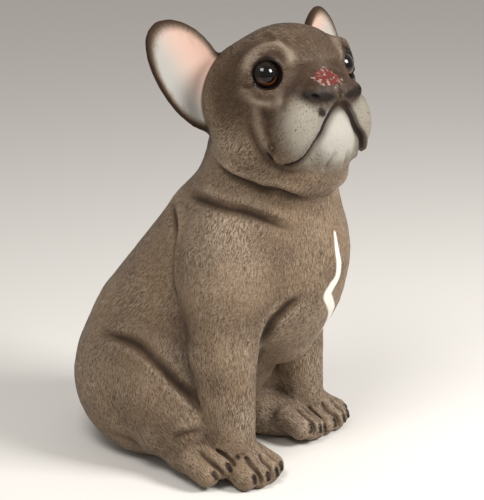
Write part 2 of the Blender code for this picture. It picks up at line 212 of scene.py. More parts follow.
class Leaf(Step):
    """An upright oval plate with a round rim, such as an ear. Its edges are bowed forward."""

    def __init__(self, centre, half, thickness, bow, taper, turn, blend, place, mirrored):
        super().__init__(place, mirrored, blend)
        self.own = placed(centre, turn)
        self.half = np.array(half, float)
        self.rim = thickness / 2
        self.bow = bow
        self.taper = taper
        self.covers([centre], max(half) * 1.3 + blend + 2.0)

    def outline(self, local):
        """How far a point is out from the plate's middle, with one at its edge."""
        width = self.half[0] * (1.0 + self.taper * np.clip(local[:, 2] / self.half[1], -1.0, 1.0))
        return np.hypot(local[:, 0] / width, local[:, 2] / self.half[1])

    def through(self, local):
        """How far a point is behind the plate's middle sheet."""
        return local[:, 1] + self.bow * local[:, 0] ** 2

    def field(self, points):
        local = self.own_points(points)
        length = self.outline(local)
        outward = (length - 1.0) * self.half.min() + self.rim
        return np.hypot(np.maximum(outward, 0.0), self.through(local)) - self.rim

    def rough(self, mesh):
        for side in self.sides():
            made = bmesh.ops.create_icosphere(mesh, subdivisions=4, radius=1.0)["verts"]
            for point in made:
                across = point.co.x * self.half[0] * (1.0 + self.taper * point.co.z)
                up = point.co.z * self.half[1]
                through = self.rim * max(-1.0, min(1.0, 3.0 * point.co.y))
                point.co = side @ self.own @ Vector((across, through - self.bow * across**2, up))


class Ring(Step):
    """A round rim that looks along -Y of its own place, such as an eyelid."""

    def __init__(self, centre, turn, radius, thickness, blend=1.0, place=BODY, mirrored=False):
        super().__init__(place, mirrored, blend)
        self.own = placed(centre, turn)
        self.radius = radius
        self.rim = thickness / 2
        self.covers([centre], radius + thickness + blend + 2.0)

    def field(self, points):
        local = self.own_points(points)
        return np.hypot(np.hypot(local[:, 0], local[:, 2]) - self.radius, local[:, 1]) - self.rim

    def rough(self, mesh):
        beads = 16
        for side in self.sides():
            for bead in range(beads):
                angle = 2 * math.pi * bead / beads
                spot = Matrix.Translation((self.radius * math.cos(angle), 0, self.radius * math.sin(angle)))
                matrix = side @ self.own @ spot
                bmesh.ops.create_icosphere(mesh, subdivisions=1, radius=self.rim, matrix=matrix)


class Crease(Step):
    """A line pressed into the clay, which fades out at its ends.

    The clay that it pushes up lies beside it, and more of it to one side where over says which. A depth below
    nought raises a ridge.
    """

    def __init__(self, route, depth, width, place=BODY, mirrored=False, lip=0.2, over=None, fade=0.3):
        super().__init__(place, mirrored, 0.0)
        self.route = smooth_route(route)
        self.depth = depth
        self.width = width
        self.lip = lip
        self.over = None if over is None else np.array(Vector(over).normalized())
        self.fade = fade
        self.along = np.diff(self.route, axis=0)
        far = np.concatenate([[0.0], np.cumsum(np.linalg.norm(self.along, axis=1))])
        self.share = far / far[-1]
        self.covers(self.route, 4.0 * width)

    def nearest(self, points):
        """For each point, the gap to the line, the way to it and the share of the line's length there."""
        toward = points[:, None, :] - self.route[:-1]
        share = np.clip((toward * self.along).sum(axis=2) / (self.along**2).sum(axis=1), 0.0, 1.0)
        away = toward - share[..., None] * self.along
        gap = np.linalg.norm(away, axis=2)
        rows = np.arange(len(points))
        part = gap.argmin(axis=1)
        length = self.share[part] + share[rows, part] * (self.share[part + 1] - self.share[part])
        return gap[rows, part], away[rows, part], length

    def field(self, points):
        gap, away, length = self.nearest(points)
        near = gap / self.width
        lip = self.lip * np.exp(-((near - 1.9) ** 2))
        if self.over is not None:
            lip *= 1.0 + np.tanh(1.5 * (away @ self.over) / self.width)
        strength = ease(np.minimum(length, 1.0 - length), -0.02, self.fade)
        return self.depth * strength * (np.exp(-(near**2)) - lip)

    def lay(self, depth, value):
        return depth + value


def clay_field(steps, points):
    """Depth of points, in units, after all the steps in order. It is below nought inside the clay."""
    depth = np.full(len(points), 1e3)
    local_of = {}
    for step in steps:
        key = (tuple(map(tuple, step.place)), step.mirrored)
        if key not in local_of:
            local_of[key] = np.asfortranarray(in_place(points, step.place, step.mirrored))
        local = local_of[key]
        near = np.flatnonzero((local[:, 2] > step.low[2]) & (local[:, 2] < step.high[2]))
        for axis in (0, 1):
            value = local[near, axis]
            near = near[(value > step.low[axis]) & (value < step.high[axis])]
        if len(near):
            depth[near] = step.lay(depth[near], step.field(local[near]))
    return depth


def torso():
    """Barrel chest that juts forward, sloping back and round rump."""
    return [
        Egg((0, -12, 45.5), (18.5, 18, 20.5), turn=(-12, 0, 0)),
        Egg((0, -20.5, 49), (12.5, 11, 14), blend=6),
        Limb((0, -5, 48), (0, 9, 26), 16.5, 19.5, blend=8),
        Egg((0, 12, 16.5), (21, 21.5, 18), blend=8),
        Egg((0, -3, 27), (16, 13, 15), blend=6),
        Limb((0, -12.5, 52), (-2, -16, 70), 16.5, 14, blend=8),
        Limb((0, -20, 40), (1.5, -17, 30), 9.5, 7.5, blend=5),
    ]


def thighs():
    """Heavy folded hind legs that the puppy sits on, each with the deep fold above it."""
    side = dict(mirrored=True)
    fold = [(18.5, 18.7, 28.8), (20.3, 12.5, 29.6), (21.1, 6.7, 29), (22.4, 1.1, 26.9)]
    fold += [(22.2, -3.7, 23), (21.2, -8, 19), (20.5, -11, 14)]
    foot_fold = [(19, 16, 8.5), (20.5, 8, 7), (21, 2, 5.5)]
    ankle_fold = [(24.5, -3.1, 9.7), (24.3, -5.8, 11.2), (23.5, -8.6, 12.4), (22, -10.9, 12.8)]
    return [
        Egg((13.5, 10, 17), (10.5, 18.3, 16.8), turn=(-10, 0, 6), blend=2.5, **side),
        Limb((16, 3, 19), (17, -5, 13), 10.0, 7.5, blend=4, **side),
        Crease(fold, 1.9, 1.2, over=(0, 0, -1), **side),
        Crease(foot_fold, 0.6, 1.5, lip=0.1, **side),
        Crease(ankle_fold, 0.6, 0.9, **side),
    ]


def front_legs():
    """Straight wide-set forelegs with loose skin at the shoulder."""
    side = dict(mirrored=True)
    shoulder_fold = [(7.7, 5.7, 58.4), (12.8, 2.3, 56.7), (16.5, -0.4, 52.9)]
    shoulder_fold += [(18.4, -1, 44.7), (18.4, -2.4, 38)]
    armpit = [(9.9, -28.2, 42.9), (11.9, -25.9, 40.7), (12.8, -24, 38.4)]
    armpit += [(13.3, -22.4, 36.3), (11.5, -18.5, 30)]
    return [
        Egg((13.5, -11.5, 46), (9.5, 11, 15), blend=5, **side),
        Limb((14.5, -12, 42), (16, -12, 29), 8.6, 7.0, blend=4, **side),
        Limb((-16, -12, 29), (-15.6, -13.4, 9), 7.0, 5.6, blend=3),
        Limb((16, -12, 29), (18.2, -12.8, 9), 7.0, 5.6, blend=3),
        Crease(shoulder_fold, 1.1, 1.1, over=(0, -1, 0), **side),
        Crease(armpit, 1.5, 1.2, **side),
    ]


def neck_fold():
    """Loose skin gathered round the neck."""
    route = [(9.8, 1.6, 61), (14.7, -5.6, 61.6), (17, -13, 61.3)]
    route += [(15.9, -18.4, 60.4), (12.8, -25, 57.5), (10, -27.5, 56)]
    return [Crease(route, 0.9, 1.2, lip=0.35, over=(0, 0, 1), mirrored=True)]


def toes(length, width, toe_radius):
    """Where each of a paw's four toes has its knuckle and its tip, in the paw's place."""
    for number in range(4):
        across = (number - 1.5) * width * 0.26
        tip = toe_radius - length / 2 + abs(number - 1.5) ** 2 * width * 0.055
        yield (across * 0.8, tip + toe_radius * 2.0), (across, tip)


def paw(place, length, width, height, toe_radius):
    """A paw that points to -Y of its place: a palm, four toes side by side and the grooves between them."""
    steps = [Egg((0, length * 0.08, height * 0.45), (width * 0.5, length * 0.42, height * 0.54), place=place)]
    for knuckle, tip in toes(length, width, toe_radius):
        start = (*knuckle, height * 0.52)
        end = (*tip, toe_radius * 1.1)
        steps.append(Limb(start, end, toe_radius * 1.2, toe_radius * 1.12, blend=0.8, place=place))
    for number in range(3):
        across = (number - 1) * width * 0.26
        tip = -length / 2 + abs(number - 1) * width * 0.05
        route = [(across * 0.8, tip + toe_radius * 2.7, height * 0.85)]
        route.append((across, tip + toe_radius * 1.4, height * 0.66))
        route.append((across, tip + toe_radius * 0.2, toe_radius * 1.3))
        route.append((across, tip + toe_radius * 0.1, toe_radius * 0.3))
        steps.append(Crease(route, 0.9, 0.5, lip=0, fade=0.25, place=place))
    return steps


def claws(place, length, width, toe_radius):
    """A short blunt claw at the tip of each toe."""
    steps = []
    for _, tip in toes(length, width, toe_radius):
        root = (tip[0], tip[1] - toe_radius * 0.95, toe_radius * 1.5)
        end = (tip[0], tip[1] - toe_radius * 1.15, toe_radius * 1.05)
        steps.append(Limb(root, end, 0.6, 0.45, blend=0.2, place=place))
    return steps


# Each paw: its place, length, width, height and the radius of its toes
RIGHT_FORE = (placed((-14.8, -17.2, 0), (0, 0, -10)), 14.5, 11.8, 8.5, 2.4)
LEFT_FORE = (placed((20.6, -16.4, 0), (0, 0, 11)), 14, 12.5, 8.5, 2.3)
RIGHT_HIND = (placed((-17.8, -8.9, 2.6), (-4, -22, -10)), 18, 12.5, 8.5, 2.4)
LEFT_HIND = (placed((10.4, -12.4, 0.6), (0, 16, 2)), 20, 10.5, 8.5, 2.3)
PAWS = (RIGHT_FORE, LEFT_FORE, RIGHT_HIND, LEFT_HIND)


def feet():
    """Forefeet under their legs, the right hind foot beside its foreleg and the left one between the two."""
    steps = []
    for place, length, width, height, toe_radius in PAWS:
        steps += paw(place, length, width, height, toe_radius)
    steps.append(Limb((-17, 1, 10), (-18.3, -7, 6), 8.0, 5.0, blend=3))
    steps.append(Limb((13, 3, 8), (10, -8, 5), 7.0, 4.8, blend=3))
    return steps


def all_claws():
    steps = []
    for place, length, width, _, toe_radius in PAWS:
        steps += claws(place, length, width, toe_radius)
    return steps


def from_eye(ahead, aside=0.0, up=0.0):
    """A place measured from the middle of the eye's ball, in the way that the eye looks."""
    return placed(EYE_CENTRE, EYE_TURN) @ Vector((aside, -ahead, up))


# The line between the lips, from under the nose to the mouth's corner, in the head's place
MOUTH_LINE = [(0, -16.5, -1.5), (1.7, -16.6, -2.4), (3.7, -16.6, -4.7), (5.1, -16.5, -7.1)]
MOUTH_LINE += [(7.1, -16.3, -9.3), (8.4, -15.4, -11.7), (9.7, -13.7, -13.2)]
MOUTH_LINE += [(10.9, -11.5, -13.7), (12.1, -10.1, -12.9), (12.8, -9.6, -11.7)]


def head():
    """Broad domed skull, round cheeks, short muzzle with hanging lips and a strong chin."""
    side = dict(place=HEAD, mirrored=True)
    middle = dict(place=HEAD)
    valley = [(7.5, -10, 7.5), (8.0, -11.0, 4.5), (9.0, -11.3, 2), (9.8, -11.5, -1)]
    return [
        Egg((0, -1.0, -0.5), (16.2, 12.3, 13.4), blend=5, **middle),
        Egg((9.0, -1, -9), (8.2, 9.5, 10), blend=5, **side),
        Egg((0, -6, -13), (12.2, 9.5, 7), blend=4, **middle),
        Egg((0, -4, -17), (10.5, 10.5, 6.5), blend=5, **middle),
        Egg((0, -10.2, -4.6), (12.4, 6.6, 7.6), blend=3, **middle),
        Egg((7.8, -11.4, -8), (5.2, 5.0, 6.6), turn=(0, 12, 0), blend=3, **side),
        Egg((0, -12.6, -9.8), (7.2, 5.4, 7.4), blend=1.2, **middle),
        Crease(valley, 1.5, 3.0, lip=0, **side),
    ]


def nose():
    """Flat square nose with small oval nostrils and a groove down its middle."""
    side = dict(place=HEAD, mirrored=True)
    middle = dict(place=HEAD)
    groove = [(0, -15.4, 3.2), (0, -16.4, 1.6), (0, -16.6, 0), (0, -16.6, -1.6)]
    return [
        Egg((0, -11.9, 0.7), (7.8, 4.7, 3.1), blend=3, **middle),
        Egg((5.0, -14.1, 0.2), (3.2, 2.1, 2.0), blend=1.8, **side),
        Hollow((6.6, -16.4, 0.3), (1.1, 1.3, 0.6), turn=(0, -20, 20), blend=0.5, **side),
        Crease(groove, 0.5, 0.4, lip=0.3, **middle),
    ]


def eyelids():
    """Thick lids round each eye, a raised brow arch with a hollow under it, and the folds by the eye."""
    side = dict(place=HEAD, mirrored=True)
    brow = [(14.2, -5.5, 6.7), (12.5, -5.6, 8.4), (10.4, -6.0, 9.3)]
    brow += [(8.4, -6.8, 9.4), (7.6, -8.5, 8.2), (7.9, -9.5, 6.7)]
    under_brow = [(12.9, -6.3, 6.7), (11.9, -6.7, 7.6), (9.9, -7.5, 8.0), (9.1, -8.7, 7.0), (9.0, -9.6, 5.5)]
    corner = [(14.0, -7.0, 2.4), (14.6, -6.6, 2.0), (15.3, -5.9, 1.6), (16.2, -4.3, 1.4)]
    under_eye = [(15.2, -6.2, 0.2), (14.2, -7.5, -0.6), (12.8, -8.9, -0.7), (11.3, -10.2, 0.0)]
    return [
        Ring(from_eye(0.2), EYE_TURN, 4.3, 2.4, blend=3.5, **side),
        Ring(from_eye(1.5), EYE_TURN, 3.45, 1.0, blend=1.5, **side),
        Hollow(from_eye(3.4), (3.1, 4.2, 3.0), turn=EYE_TURN, blend=0.5, **side),
        Crease(brow, -0.45, 1.2, lip=0.0, **side),
        Crease(under_brow, 0.6, 0.7, lip=0.1, **side),
        Crease(corner, 0.5, 0.5, lip=0.1, **side),
        Crease(under_eye, 0.35, 0.8, lip=0.2, **side),
    ]


def face_folds():
    """The mouth line and the folds of loose skin over the cheeks, lips and jaw."""
    side = dict(place=HEAD, mirrored=True)
    muzzle_fold = [(0, -11.6, 6.4), (3.4, -11.6, 5.7), (5.6, -11.3, 5.2)]
    muzzle_fold += [(7.5, -11.3, 3.6), (8.9, -11.1, 2.3), (9.8, -11.1, 1.0)]
    muzzle_fold += [(10.8, -11.2, -0.5), (11.6, -11.7, -1.8), (12.5, -12.0, -3.7)]
    outer_fold = [(13.6, -8.1, -1.5), (13.6, -8.4, -3.1), (13.4, -9.4, -5.0)]
    cheek_fold = [(15.6, -5.6, -3.4), (15.5, -6.5, -5.9), (15.1, -7.3, -8.3), (14.2, -8.2, -10.9)]
    cheek_fold += [(12.5, -9.2, -13.4), (10.4, -10.9, -15.0), (7.8, -13.2, -15.4), (5.3, -14.7, -14.6)]
    jaw_fold = [(13.5, 6.1, -15.4), (14.1, 0.9, -17.6), (12.7, -3.1, -18.9)]
    jaw_fold += [(10.7, -5.8, -20.1), (8.4, -8.8, -20.5), (0, -10.4, -21.5)]
    throat_fold = [(1.3, -17.8, -11.0), (2.3, -17.2, -12.9), (2.9, -15.4, -15.7)]
    forehead = [(5.6, -4.8, 11.3), (6.5, -7.3, 9.7), (6.6, -8.9, 8.2)]
    temple = [(7.4, -0.9, 11.4), (7.9, -3.8, 10.8), (8.1, -5.5, 10.2)]
    return [
        Crease(MOUTH_LINE, 1.3, 0.6, lip=0.25, fade=0.1, over=(0.5, 0, 0.8), **side),
        Crease(muzzle_fold, 0.65, 0.8, lip=0.2, **side),
        Crease(outer_fold, 0.35, 0.9, lip=0.2, **side),
        Crease(cheek_fold, 0.5, 1.0, lip=0.35, over=(0, -1, 1), **side),
        Crease(jaw_fold, 1.2, 1.3, lip=0.3, over=(0, 0, 1), **side),
        Crease(throat_fold, 0.5, 0.8, **side),
        Crease(forehead, 0.35, 0.9, lip=0.1, **side),
        Crease(temple, 0.3, 0.8, lip=0.1, **side),
    ]


EAR = Leaf(
    (17.9, 10.4, 1.9), (7.4, 13.0), thickness=2.2, bow=0.045, taper=0.07, turn=(-9, 32, 7), blend=2.5,
    place=HEAD, mirrored=True,
)


def ears():
    """Upright bat ears, broad and round-topped, bowed forward like a cup."""
    side = dict(place=HEAD, mirrored=True)
    return [Egg((11.4, 3.6, 0), (5.4, 5, 9), turn=(0, -20, 40), blend=4, **side), EAR]


# The front of the face, and painted areas on the head
FACE = Step(HEAD, False, 0.0)
FACE.covers([(-15, -17, -17), (15, -6, 9)], 2.0)
FOREFACE = Egg((0, -13.0, -3.0), (14.5, 9.5, 14.0), place=HEAD)
NOSE_LEATHER = Egg((0, -15.6, 1.6), (8.6, 4.6, 4.3), place=HEAD)
LIDS = Egg(from_eye(1.6), (3.6, 3.2, 3.8), turn=EYE_TURN, place=HEAD)


def statue_steps():
    steps = torso() + thighs() + front_legs() + neck_fold() + feet() + all_claws()
    return steps + head() + nose() + eyelids() + face_folds() + ears()


def apply_modifiers(obj):
    graph = bpy.context.evaluated_depsgraph_get()
    mesh = bpy.data.meshes.new_from_object(obj.evaluated_get(graph))
    old = obj.data
    obj.modifiers.clear()
    obj.data = mesh
    bpy.data.meshes.remove(old)


def remesh(obj, size):
    """Gives the object a new even skin."""
    skin = obj.modifiers.new("skin", "REMESH")
    skin.mode = "VOXEL"
    skin.voxel_size = size
    apply_modifiers(obj)


def points_of(mesh):
    """The mesh's points in units."""
    points = np.empty(len(mesh.vertices) * 3)
    mesh.vertices.foreach_get("co", points)
    return points.reshape(-1, 3) / UNIT


def normals_of(mesh):
    normals = np.empty(len(mesh.vertices) * 3)
    mesh.vertices.foreach_get("normal", normals)
    return normals.reshape(-1, 3)


def move_points(mesh, points):
    mesh.vertices.foreach_set("co", (points * UNIT).ravel())
    mesh.update()


def settle(obj, steps, rounds, reach):
    """Moves the skin along its normals onto the clay's own surface, by up to that reach a round."""
    probe = 0.05
    for _ in range(rounds):
        points = points_of(obj.data)
        normals = normals_of(obj.data)
        depth = clay_field(steps, points)
        slope = (clay_field(steps, points + probe * normals) - depth) / probe
        move = np.clip(-depth / np.maximum(slope, 0.5), -reach, reach)
        move_points(obj.data, points + move[:, None] * normals)


def soften_lines(obj, rounds):
    """Smooths the skin a little along the mouth and the eyelids, where it turns most sharply."""
    mesh = obj.data
    edges = edges_of(mesh)
    points = points_of(mesh)
    local = in_place(points, HEAD)
    near_mouth = Crease(MOUTH_LINE, 1.0, 1.0).nearest(local)[0]
    lid_middle = placed(from_eye(1.5), EYE_TURN)
    lid_radius = 3.3
    near_lids = np.abs(np.linalg.norm(in_place(local, lid_middle, mirrored=False), axis=1) - lid_radius)
    share = np.maximum(np.exp(-((near_mouth / 1.6) ** 2)), np.exp(-((near_lids / 1.2) ** 2)))[:, None]
    for _ in range(rounds):
        points += share * (neighbours_mean(points, edges, len(points)) - points)
    move_points(mesh, points)


def areas_of(mesh):
    """The skin's area round each point."""
    areas = np.empty(len(mesh.polygons))
    mesh.polygons.foreach_get("area", areas)
    corners = np.empty(len(mesh.loops), int)
    mesh.loops.foreach_get("vertex_index", corners)
    sides = np.empty(len(mesh.polygons), int)
    mesh.polygons.foreach_get("loop_total", sides)
    return np.bincount(corners, np.repeat(areas / sides, sides), len(mesh.vertices))


def refine_face(obj):
    """Halves the grain of the skin on the face, where the carving is finest."""
    mesh = bmesh.new()
    mesh.from_mesh(obj.data)
    to_head = HEAD.inverted() @ Matrix.Scale(1 / UNIT, 4)
    on_face = {vertex for vertex in mesh.verts if FACE.holds(to_head @ vertex.co)}
    edges = [edge for edge in mesh.edges if on_face.issuperset(edge.verts)]
    bmesh.ops.subdivide_edges(mesh, edges=edges, cuts=1, use_grid_fill=True)
    bmesh.ops.triangulate(mesh, faces=[face for face in mesh.faces if len(face.verts) > 4])
    mesh.to_mesh(obj.data)
    mesh.free()


def thin_out(obj, triangles):
    """Brings the skin down to so many triangles, with the most where it curves most."""
    share = triangles / sum(len(face.vertices) - 2 for face in obj.data.polygons)
    if share < 1.0:
        fewer = obj.modifiers.new("fewer", "DECIMATE")
        fewer.ratio = share
        apply_modifiers(obj)


def flatten_underside(obj):
    """Cuts the feet and rump flat, so the statue stands on z = 0."""
    mesh = bmesh.new()
    mesh.from_mesh(obj.data)
    everything = mesh.verts[:] + mesh.edges[:] + mesh.faces[:]
    floor = dict(plane_co=(0, 0, 0), plane_no=(0, 0, 1))
    cut = bmesh.ops.bisect_plane(mesh, geom=everything, clear_inner=True, **floor)
    rims = [item for item in cut["geom_cut"] if isinstance(item, bmesh.types.BMEdge)]
    bmesh.ops.edgeloop_fill(mesh, edges=rims)
    bmesh.ops.triangulate(mesh, faces=[face for face in mesh.faces if len(face.verts) > 3])
    bmesh.ops.recalc_face_normals(mesh, faces=mesh.faces)
    mesh.to_mesh(obj.data)
    mesh.free()


# Which way the hair lies: a spot on the statue, the way there, and how far the spot reaches
BODY_LIE = [
    ((17, -12, 60), (0.2, 0.3, -1), 10),
    ((0, -28, 50), (0.15, 0, -1), 12),
    ((16, -18, 45), (0.3, 0.5, -1), 10),
    ((17, -14, 25), (0, 0.1, -1), 12),
    ((17, -22, 5), (0, -1, -0.5), 8),
    ((0, 10, 50), (0, 0.8, -1), 14),
    ((16, 5, 42), (0, 0.7, -1), 10),
    ((0, 32, 20), (0, 0.1, -1), 14),
    ((22, 8, 20), (0, 0.2, -1), 10),
    ((22, -3, 12), (0, -0.9, -0.8), 8),
    ((12, -14, 6), (0, -1, -0.3), 7),
]
HEAD_LIE = [
    ((0, -14, 6), (0.2, 1, 0.8), 5),
    ((8, -8, 10), (0.6, 1, 0.3), 6),
    ((0, 0, 14), (0.3, 1, 0), 8),
    ((14, -4, -2), (0.5, 1, -0.5), 7),
    ((14, 4, -12), (0, 0.8, -1), 8),
    ((8, -16, -4), (0.9, 0.3, -0.8), 5),
    ((0, -18, -9), (0.1, 0, -1), 4),
    ((8, -8, -18), (0.3, 0.5, -1), 8),
    ((17, 8, 3), (0.3, 0.4, 1), 8),
]


def lie_of_hair(points, normals):
    """The way that the hair lies along the skin at each point."""
    way = np.zeros_like(points)
    for place, spots in ((BODY, BODY_LIE), (HEAD, HEAD_LIE)):
        local = in_place(points, place, mirrored=False)
        side = np.where(local[:, :1] < 0, -1.0, 1.0)
        local[:, :1] *= side
        turn = np.array(place)[:3, :3]
        for spot, towards, reach in spots:
            weight = np.exp(-(((local - spot) / reach) ** 2).sum(axis=1)) + 1e-9
            there = np.tile(np.array(Vector(towards).normalized()), (len(points), 1))
            there[:, :1] *= side
            way += weight[:, None] * (there @ turn.T)
    way -= (way * normals).sum(axis=1)[:, None] * normals
    return way / np.maximum(np.linalg.norm(way, axis=1), 1e-9)[:, None]


def edges_of(mesh):
    edges = np.empty(len(mesh.edges) * 2, int)
    mesh.edges.foreach_get("vertices", edges)
    return edges.reshape(-1, 2)


def neighbours_mean(values, edges, count):
    """Each point's mean over the points that it shares an edge with."""
    ends = np.concatenate([edges[:, 0], edges[:, 1]])
    others = np.concatenate([edges[:, 1], edges[:, 0]])
    axes = range(values.shape[1])
    total = np.stack([np.bincount(ends, values[others, axis], count) for axis in axes], axis=1)
    return total / np.maximum(np.bincount(ends, minlength=count), 1)[:, None]


def hollowness(mesh, rounds):
    """How far each point lies below the smoothed skin, in units."""
    edges = edges_of(mesh)
    points = points_of(mesh)
    smooth = points.copy()
    for _ in range(rounds):
        smooth = neighbours_mean(smooth, edges, len(points))
    return ((smooth - points) * normals_of(mesh)).sum(axis=1)


def bare_share(points):
    """One where the skin has no hair: nose, lids and inner ears."""
    local = in_place(points, HEAD)
    nose_part = ease(-NOSE_LEATHER.field(local), -0.6, 0.2)
    eye_part = ease(-LIDS.field(local), -0.4, 0.2)
    ear_part = inner_ear(local)
    return np.maximum.reduce([nose_part, eye_part, ear_part])


def score_hair(obj, count, length, width, depth):
    """Scores short tufts of hair into the skin, each along the lie of the hair, give or take."""
    mesh = obj.data
    points = points_of(mesh)
    normals = normals_of(mesh)
    lie = lie_of_hair(points, normals)
    across = np.cross(normals, lie)
    bare = bare_share(points)
    tree = kdtree.KDTree(len(points))
    for index, point in enumerate(points):
        tree.insert(point, index)
    tree.balance()
    chance = np.random.default_rng(11)
    relief = np.zeros(len(points))
    areas = areas_of(mesh)
    middles = chance.choice(len(points), count, p=areas / areas.sum())
    swings = chance.normal(0.0, 0.3, count)
    sizes = chance.uniform(0.7, 1.3, count)
    signs = np.where(chance.random(count) < 0.5, -1.0, 1.0)
    for middle, swing, size, sign in zip(middles, swings, sizes, signs):
        half = length * size / 2
        near = [found[1] for found in tree.find_range(points[middle], half)]
        along = lie[middle] * math.cos(swing) + across[middle] * math.sin(swing)
        sideways = across[middle] * math.cos(swing) - lie[middle] * math.sin(swing)
        away = points[near] - points[middle]
        fall = np.exp(-((away @ sideways / width) ** 2))
        relief[near] += sign * fall * np.maximum(1.0 - (away @ along / half) ** 2, 0.0)
    most = 1.5
    calm = 1.0 - 0.6 * ease(-FOREFACE.field(in_place(points, HEAD)), -2.0, 2.0)
    relief = np.clip(relief, -most, most) * depth * (1.0 - bare) * calm
    move_points(mesh, points + relief[:, None] * normals)


def inner_ear(local):
    """One on the bare inner side of the ears, from places on the head."""
    own = EAR.own_points(local)
    inside = ease(0.96 - EAR.outline(own), 0.0, 0.2)
    through = EAR.through(own)
    return inside * ease(-through, 0.0, 0.5) * ease(through, -2.4, -1.6)


def ear_edge(local):
    """One at the ears' soft dark rim."""
    own = EAR.own_points(local)
    outline = EAR.outline(own)
    near_sheet = ease(3.0 - np.abs(EAR.through(own)), 0, 1)
    return ease(outline, 0.8, 0.97) * ease(1.3 - outline, 0.0, 0.1) * near_sheet


# The middle of the pale stripe down the chest
STRIPE = [(-2.1, -31.3, 54.9), (-2.1, -31.9, 51.2), (-1.4, -32.1, 47.7), (-1.5, -31.8, 45.0)]
STRIPE += [(-3.1, -31.3, 43.3), (-4.0, -30.7, 41.6), (-2.7, -30.3, 39.9)]
STRIPE += [(-0.4, -29.4, 37.3), (1.6, -27.3, 33.6), (2.5, -24.0, 29.0)]

# Ridges that the painter brushed pale, paint that also stands as painted highlight: on the head, by both
# eyes, over the cheeks and along the jaw
PALE_RIDGES = [
    [
        (14.8, -4.6, 5.6), (13.4, -4.9, 8.6), (10.8, -5.0, 10.2),
        (8.2, -6.2, 10.2), (7.0, -8.4, 8.8), (7.4, -9.8, 6.8),
    ],
    [(16.0, -4.6, 0.6), (14.8, -6.9, -0.9), (13.2, -8.8, -1.6), (11.0, -10.4, -1.0)],
    [(15.2, -7.4, -3.0), (14.9, -8.0, -6.0), (14.3, -9.0, -8.8), (13.0, -10.0, -12.0)],
    [(13.5, 2.0, -15.6), (12.6, -3.5, -17.2), (10.4, -7.4, -18.2), (7.0, -10.5, -18.4)],
]


def spread_normals(mesh, rounds):
    """The skin's normals with the folds smoothed out of them."""
    edges = edges_of(mesh)
    normals = normals_of(mesh)
    for _ in range(rounds):
        normals = neighbours_mean(normals, edges, len(normals))
    return normals / np.linalg.norm(normals, axis=1)[:, None]


def side_gap(crease, points, outward):
    """How far each point is to the side of a crease's line, whatever its depth, and its share of the line."""
    local = in_place(points, crease.place, crease.mirrored)
    near = np.flatnonzero(((local > crease.low) & (local < crease.high)).all(axis=1))
    far_off = 9.0
    deepest = 2.0
    gap = np.full(len(points), far_off)
    length = np.zeros(len(points))
    ways = outward @ np.array(crease.place)[:3, :3]
    if crease.mirrored:
        ways[in_place(points, crease.place, mirrored=False)[:, 0] < 0, 0] *= -1.0
    _, away, length[near] = crease.nearest(local[near])
    deep = (away * ways[near]).sum(axis=1)[:, None] * ways[near]
    beyond = np.maximum(np.linalg.norm(deep, axis=1) - deepest, 0.0)
    gap[near] = np.linalg.norm(away - deep, axis=1) + beyond
    return gap, length


def fold_masks(steps, points, outward):
    """How deep in a fold each point is, widely and at the fold's own line. These masks place the painted
    shade in the folds.
    """
    widest = 2.0
    wide = np.zeros(len(points))
    tight = np.zeros(len(points))
    for step in steps:
        if not isinstance(step, Crease) or step.depth < 0 or step.width > widest:
            continue
        gap, length = side_gap(step, points, outward)
        strength = ease(np.minimum(length, 1.0 - length), -0.05, step.fade) * min(step.depth, 1.2)
        wide = np.maximum(wide, strength * np.exp(-((gap / (0.7 * step.width + 0.2)) ** 2)))
        tight = np.maximum(tight, strength * np.exp(-((gap / (0.2 * step.width + 0.15)) ** 2)))
    return wide, tight


def ridge_mask(local):
    """One on the brushed ridges of the head, where the pale paint is also painted highlight."""
    gaps = [Crease(route, 1.0, 1.0).nearest(local)[0] for route in PALE_RIDGES]
    return np.exp(-(np.minimum.reduce(gaps) ** 2))


